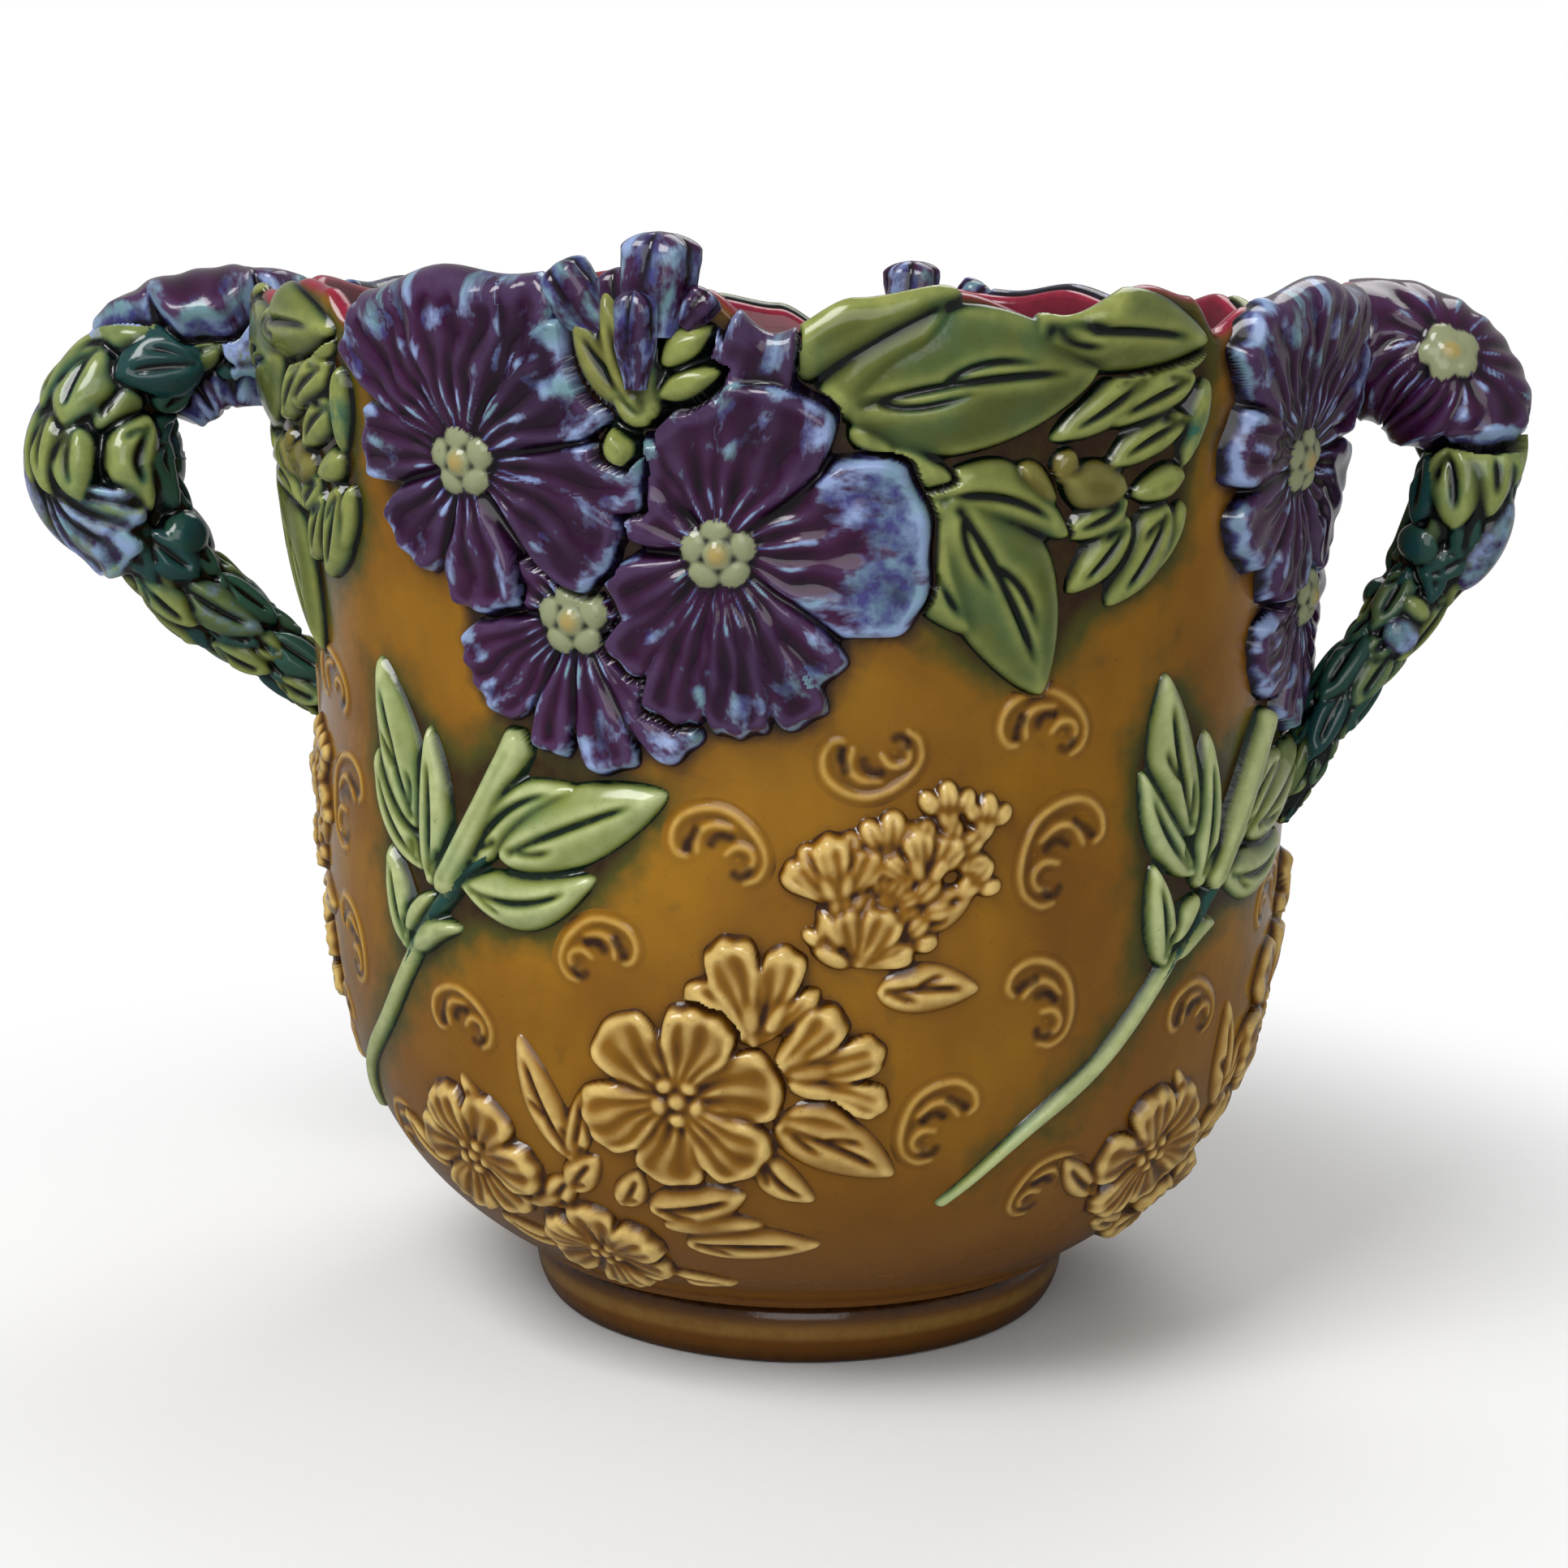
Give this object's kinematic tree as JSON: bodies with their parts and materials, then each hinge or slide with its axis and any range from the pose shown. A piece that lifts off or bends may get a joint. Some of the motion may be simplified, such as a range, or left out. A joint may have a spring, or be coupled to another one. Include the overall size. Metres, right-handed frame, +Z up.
{
  "type": "two-handled glazed earthenware jardiniere",
  "caption": "Hollow flared planter on a plain turned foot, with garland handles from rim to wall and flowers, leaves and stems in relief; holds a plant pot.",
  "frame": {"origin": "on the face the foot rests on, under the middle of the whole with its handles", "axes": "+Z up; +X towards the right handle, along the line through both handles; -Y towards the front blossoms"},
  "size_m": [0.3674, 0.2786, 0.2594],
  "materials": {
    "body_glaze": "glossy amber ochre glaze, browner towards the foot, maroon glaze inside",
    "foot_glaze": "glossy brown ochre glaze, thin and pale on its middle, dark under the wall",
    "garland_glaze": "glossy olive, teal and lilac glazes, near black green in the hollows",
    "purple_glaze": "glossy aubergine glaze brushed with pale blue lilac at the petals' edges",
    "lilac_glaze": "glossy blue lilac and green glazes",
    "green_glaze": "glossy yellow green glaze, dark green pooled round each leaf and in its veins",
    "straw_glaze": "the body's ochre glaze, thin and straw coloured on the ridges, brown in the hollows"
  },
  "bodies": {
    "root": {"blossom_centre_back": "purple_glaze", "blossom_centre_front": "purple_glaze", "blossom_left_back": "purple_glaze", "blossom_left_front": "purple_glaze", "blossom_left_left": "purple_glaze", "blossom_left_right": "purple_glaze", "blossom_low_back": "purple_glaze", "blossom_low_front": "purple_glaze", "blossom_low_left": "purple_glaze", "blossom_low_right": "purple_glaze", "foot_ring": "foot_glaze", "handle_blossom_left": "purple_glaze", "handle_blossom_right": "purple_glaze", "handle_left": "garland_glaze", "handle_right": "garland_glaze", "hanging_leaf_back": "green_glaze", "hanging_leaf_front": "green_glaze", "hanging_leaf_left": "green_glaze", "hanging_leaf_right": "green_glaze", "leaf_cluster_back": "green_glaze", "leaf_cluster_front": "green_glaze", "leaf_cluster_left": "green_glaze", "leaf_cluster_right": "green_glaze", "ochre_blossoms_back": "straw_glaze", "ochre_blossoms_front": "straw_glaze", "ochre_blossoms_left": "straw_glaze", "ochre_blossoms_right": "straw_glaze", "ochre_buds_back": "straw_glaze", "ochre_buds_front": "straw_glaze", "ochre_buds_left": "straw_glaze", "ochre_buds_right": "straw_glaze", "pot_body": "body_glaze", "rim_buds_back": "lilac_glaze", "rim_buds_front": "lilac_glaze", "rim_leaf_back": "green_glaze", "rim_leaf_front": "green_glaze", "rim_leaf_left": "green_glaze", "rim_leaf_right": "green_glaze", "stem_spray_back": "green_glaze", "stem_spray_front": "green_glaze", "stem_spray_left": "green_glaze", "stem_spray_right": "green_glaze"}
  },
  "joints": []
}
